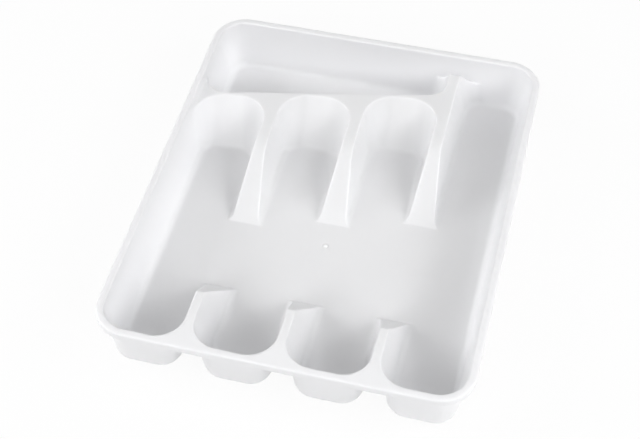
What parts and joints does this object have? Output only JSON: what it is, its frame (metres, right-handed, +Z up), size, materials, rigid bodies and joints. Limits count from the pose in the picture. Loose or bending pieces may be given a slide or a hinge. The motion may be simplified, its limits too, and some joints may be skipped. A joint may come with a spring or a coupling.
{
  "type": "cutlery tray",
  "caption": "White plastic cutlery tray for a drawer: front pockets, open middle floor, rear slots behind ramped dividers, a slanting back compartment and a full-depth side compartment.",
  "frame": {"origin": "middle of the tray's footprint, on the plane that its floors stand on", "axes": "+Y from the front pockets to the back compartment, +X to the right as seen from the front, +Z up out of the tray's mouth"},
  "size_m": [0.33, 0.396, 0.055],
  "materials": {
    "tray_plastic": "semi-gloss white polypropylene with a fine moulded surface"
  },
  "bodies": {
    "root": {"rim_flange": "tray_plastic", "front_pocket_1": "tray_plastic", "front_pocket_2": "tray_plastic", "front_pocket_3": "tray_plastic", "front_pocket_4": "tray_plastic", "middle_floor": "tray_plastic", "rear_slot_1": "tray_plastic", "rear_slot_2": "tray_plastic", "rear_slot_3": "tray_plastic", "back_compartment": "tray_plastic", "side_compartment": "tray_plastic"}
  },
  "joints": []
}
